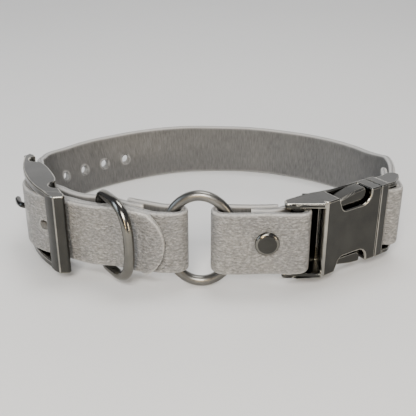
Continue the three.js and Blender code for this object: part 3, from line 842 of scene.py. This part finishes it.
# its front bar stands a hair proud of the rails, and its outer front corner carries a painted highlight in the
# brighter metal
front_plan = rounded(
    [(-2.8, -1.1), (-1.5, 2.5), (1.1, 3.7), (4.3, 4.3), (4.6, 2.6), (2.8, -0.9), (0.6, -2.1), (-1.8, -2.1)],
    (0.8, 1.0, 0, 0.5, 0.5, 0.6, 0.5, 0.9),
)
front_bar = named(prism([on_frame(*p) for p in front_plan], FRAME_LOW - 0.03, FRAME_HIGH + 0.03), "front_bar")
for face in front_bar.data.polygons:
    if 0.4 < face.normal.xy.dot(OUT) < 0.85 and face.normal.xy.dot(ALONG) < 0:
        face.material_index = 1
soften_edges(front_bar, 0.5)
join(curved_frame, front_bar)

back_plan = [(BACK_BAR_ALONG + a, 0.2 + o) for a, o in ((2.5, 2), (-2.5, 2), (-2.5, -2), (2.5, -2))]
back_plan = rounded(back_plan, (1.4, 1.4, 1.4, 1.4))
join(curved_frame, prism([on_frame(*p) for p in back_plan], FRAME_LOW + 0.6, FRAME_HIGH - 0.6))
join(curved_frame, upright(CENTRE_BAR, FRAME_LOW + 1, FRAME_HIGH - 1, BAR))
finish_metal(curved_frame, "collar", "buckle_frame")

# its tongue: an eye round the centre bar, and a bent wire with a rounded end
tongue_eye = upright(CENTRE_BAR, MID - 2, MID + 2, 3.9, 40)
cut(tongue_eye, upright(CENTRE_BAR, MID - 4, MID + 4, 2.3, 40))
soften_edges(named(tongue_eye, "tongue_eye"), 0.4)
finish_metal(tongue_eye, "tongue", "buckle_tongue")
WIRE_RADIUS, WIRE_END = 1.25, 1.2
wire_radii = []
for k in reversed(range(len(tongue_line))):
    to_tip = min(k * TONGUE_STEP, WIRE_END)
    wire_radii.append(WIRE_RADIUS * math.sqrt(max(1 - (1 - to_tip / WIRE_END) ** 2, 0.02)))
tongue_wire = sweep("tongue_wire", tongue_line, wire_radii, 20)
dress(tongue_wire, METAL, "hardware", "tongue", "buckle_tongue")

# the side-release buckle's female half: a housing, two rails to a strap bar, a hollow and two windows
body_plan = [
    (42.7, -2.5), (50, 2.9), (58.5, 8.7), on_buckle(0, 0),
    on_buckle(0, -BODY_THICK), (57.4, 18.9), (51, 13.9), (44.8, 10.9), (42.7, 10),
]
release_body = prism(rounded(body_plan, (1.5, 0, 0, 0, 0, 0, 0, 0, 0)), BODY_LOW, BODY_HIGH)
female_rail = rounded(
    [(28.2, -2.5), (43.4, -2.6), (43.4, 10.2), (38.7, 8.3), (34.6, 5.8), (28.2, 1.4)], (1.2, 0, 0, 0, 3, 1.5))
join(release_body, prism(female_rail, BODY_LOW, BODY_LOW + PLATE))
join(release_body, prism(female_rail, BODY_HIGH - PLATE, BODY_HIGH))
female_bar = arc(FEMALE_BAR, BAR, -90, 90, 10) + arc((FEMALE_BAR[0] - 1, FEMALE_BAR[1]), BAR, 90, 270, 10)
join(release_body, prism(female_bar, BODY_LOW + 0.5, BODY_HIGH - 0.5))
inner_bar = [(36.8, 5.9), (43.4, 8.7), (43.4, 10.2), (38.7, 8.3), (35.8, 6.6)]
join(release_body, prism(inner_bar, BODY_LOW + 0.3, BODY_HIGH - 0.3))


def hollow(obj, p0, p1):
    """Cuts the buckle's inside out between two distances from the seam."""
    corners = ((p0, -WALL), (p1, -WALL), (p1, WALL - BODY_THICK), (p0, WALL - BODY_THICK))
    cut(obj, prism([on_buckle(*c) for c in corners], BODY_LOW + CAP, BODY_HIGH - CAP))


hollow(release_body, -24, 1)
top = (BODY_HIGH - BODY_LOW) / 2
window = rounded(
    [(-22.4, top + 2), (-21.2, top - 1.4), (-19.3, top - NOTCH), (-5.1, top - NOTCH), (-5.1, top + 2)],
    (0, 0.8, 2.4, 4.2, 0),
)
for sign in (1, -1):
    cut(release_body, buckle_plate(window, 3, WALL - BODY_THICK, sign))
soften_edges(named(release_body, "release_body"), 0.6)
finish_metal(release_body, "collar", "female_body")

# its male half: a flange that closes the housing, and two rails to a strap bar
FLANGE_FROM, FLANGE_TO = 0.3, 4.4
flange = [(FLANGE_FROM, 0), (FLANGE_TO, -0.3), (FLANGE_TO, 0.4 - BODY_THICK), (FLANGE_FROM, -BODY_THICK)]
release_male = prism([on_buckle(*p) for p in flange], BODY_LOW, BODY_HIGH)
male_rail = [(-4, 2.4), (2, 2.7), (5, 2.2), (6.2, 0), (5, -2.4), (0, -4.6)]
male_rail = [on_buckle(2, -0.6), *(on_male(*p) for p in male_rail), on_buckle(2, 1.2 - BODY_THICK)]
male_rail = rounded(male_rail, (0, 4, 0, 1.5, 0.5, 1.5, 3, 0))
join(release_male, prism(male_rail, BODY_LOW + 0.1, BODY_LOW + PLATE))
join(release_male, prism(male_rail, BODY_HIGH - PLATE, BODY_HIGH - 0.1))
join(release_male, upright(MALE_BAR, BODY_LOW + 0.5, BODY_HIGH - 0.5, BAR))
hollow(release_male, -1, 3.55)
soften_edges(named(release_male, "release_male"), 0.45)
finish_metal(release_male, "male_half", "male_frame")

# the latches, upper and lower: an arm on a hinge, and a raised pad that the finger presses in its window
PIVOT, PIVOT_AT = 7.0, 1.5
HINGE_RADIUS, PIN_HOLE_RADIUS = 1.8, 0.95
deep, shallow = WALL - BODY_THICK + 0.3, -WALL - 0.3
arm_side = [
    (-4, PIVOT - 2.6), (PIVOT_AT, PIVOT - 1.6), (PIVOT_AT + 0.4, PIVOT + 1.6), (-4.6, PIVOT + 4.6),
    (-6.6, PIVOT + 5.2), (-6.8, 15.9), (-12, 15.5), (-20.4, 13.9), (-21, 12.2), (-21, 9.4), (-15, 8.6),
    (-9, 5.2),
]
pad_side = rounded(
    [(-20.3, 13.7), (-12, 15.4), (-6.9, 15.9), (-6.9, 11.4), (-19.6, 11.2)], (0.5, 0, 0.9, 2.6, 1.6))
LATCHES = ((1, "upper"), (-1, "lower"))


def hinge_rod(q0, q1, sign, radius):
    high = BODY_MID + sign * PIVOT
    return rod(place(*on_buckle(PIVOT_AT, q0), high), place(*on_buckle(PIVOT_AT, q1), high), radius)


for sign, name in LATCHES:
    latch = buckle_plate(arm_side, deep, shallow - 0.8, sign)
    join(latch, buckle_plate(pad_side, shallow - 1.6, shallow, sign))
    join(latch, hinge_rod(deep, shallow, sign, HINGE_RADIUS))
    cut(latch, hinge_rod(deep - 1, shallow + 1, sign, PIN_HOLE_RADIUS))
    soften_edges(named(latch, name + "_latch"), 0.35)
    finish_metal(latch, name + "_arm", name + "_latch_arm")

# the spring between them, in two halves
COIL_HALF, COIL_RADIUS, COIL_TURNS, COIL_STEPS, COIL_WIRE = 3.65, 1.9, 2.5, 60, 0.4
coil_x, coil_y = on_buckle(-3.4, -BODY_THICK / 2)
for sign, name in LATCHES:
    coil = []
    for k in range(COIL_STEPS + 1):
        turn = sign * 2 * math.pi * COIL_TURNS * k / COIL_STEPS
        height = BODY_MID + sign * COIL_HALF * k / COIL_STEPS
        x, y = coil_x + COIL_RADIUS * math.cos(turn), coil_y + COIL_RADIUS * math.sin(turn)
        coil.append(place(x, y, height))
    spring = sweep(name + "_spring_half", coil, COIL_WIRE, 10)
    dress(spring, STEEL, "spring", "male_half", "latch_spring")
    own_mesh(spring)

# the link strap's screw: a turned head whose rounded rim has a painted highlight in a brighter metal, and its
# shank
HEAD_RADIUS, HEAD_ROUND, SHANK_RADIUS, SHANK_END, HEAD_SIDES = 4.6, 0.9, 1.4, -6.5, 64
RIM_HIGHLIGHT_ROWS = range(3, 9)
head = [(0.05, 1.6), (2, 1.6), (3.3, 1.6), (3.55, 1.57), (3.68, 1.48)]
for k in range(7):
    a = 0.35 + 1.22 * k / 6
    head.append((HEAD_RADIUS - HEAD_ROUND + HEAD_ROUND * math.sin(a), 0.55 + HEAD_ROUND * math.cos(a)))
head += [(HEAD_RADIUS, 0.25), (4.52, 0), (SHANK_RADIUS, 0), (SHANK_RADIUS, SHANK_END), (0.05, SHANK_END)]
head_at = place(SCREW_AT[0], SCREW_AT[1] - HALF - 0.5, SCREW_HIGH)
screw_head = named(turned("screw_head", head, head_at, (0, -1, 0), HEAD_SIDES), "screw_head")
# the rim's slot gets the brighter wire metal, a painted highlight
screw_head.data.materials[1] = WIRE
for index, face in enumerate(screw_head.data.polygons):
    if index // HEAD_SIDES in RIM_HIGHLIGHT_ROWS:
        face.material_index = 1
finish_metal(screw_head, "collar", "link_screw")

# ---- the CAD nodes that keep their shape get their metal here ----
for name in (
    "upper_arm_pin", "lower_arm_pin", "link_post", "base_screw", "base_post", "loop_screw", "loop_post",
):
    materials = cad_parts[name].data.materials
    materials.clear()
    materials.append(METAL)

# ---- floor, light and camera, in metres ----
FLOOR_HALF, FLOOR_GAP = 12, 0.0001
corners = [(x * FLOOR_HALF, y * FLOOR_HALF, 0) for x, y in ((-1, -1), (1, -1), (1, 1), (-1, 1))]
floor = new_object("floor", corners, [(0, 1, 2, 3)], False)
floor.location.z = min(cad_box[0].z, 0.0) - FLOOR_GAP
pale = Nodes("pale_floor")
pale_colour = pale.mix(pale.noise(pale.where(), 3.0), (0.66, 0.66, 0.655), (0.7, 0.7, 0.695))
pale.set(Base_Color=pale_colour, Roughness=0.6)
floor.data.materials.append(pale.material)

world = bpy.data.worlds.new("studio")
bpy.context.scene.world = world
world.use_nodes = True
background = world.node_tree.nodes["Background"]
background.inputs["Color"].default_value = (0.9, 0.92, 1.0, 1)
background.inputs["Strength"].default_value = 0.22


def area(name, at, toward, size, power, colour):
    data = bpy.data.lights.new(name, "AREA")
    data.shape = "RECTANGLE"
    data.size, data.size_y = size
    data.energy = power
    data.color = colour
    obj = bpy.data.objects.new(name, data)
    bpy.context.scene.collection.objects.link(obj)
    obj.location = at
    obj.rotation_euler = (Vector(toward) - Vector(at)).to_track_quat("-Z", "Y").to_euler()


area("key", (-0.08, -0.75, 0.62), (0, 0, 0.02), (0.42, 0.3), 10.5, (1.0, 0.975, 0.935))
area("back", (0.0, 1.3, 0.55), (0, 0, 0.03), (2.4, 1.1), 11, (1.0, 0.99, 0.97))
area("top", (0.1, 0.15, 0.9), (0, 0, 0.02), (0.5, 0.35), 5, (1.0, 0.99, 0.97))
area("cool", (-0.8, -0.15, 0.35), (0, 0, 0.02), (0.3, 0.5), 2.2, (0.72, 0.85, 1.0))
area("side", (0.7, -0.6, 0.2), (0, 0, 0.02), (0.3, 0.3), 2.4, (1.0, 0.84, 0.62))
area("warm", (-0.16, -0.7, 0.25), (0, 0, 0.02), (0.07, 0.4), 1.6, (1.0, 0.76, 0.45))

# solved from the photo: the ring, the strap's height at the front and back, and the table
camera = bpy.data.objects.new("camera", bpy.data.cameras.new("camera"))
bpy.context.scene.collection.objects.link(camera)
camera.data.lens = 58.85
camera.data.sensor_width = 36
camera.data.clip_start = 0.01
camera.location = place(0, -228.16, 138.26)
camera.rotation_euler = (math.radians(65.274), 0, 0)
bpy.context.scene.camera = camera
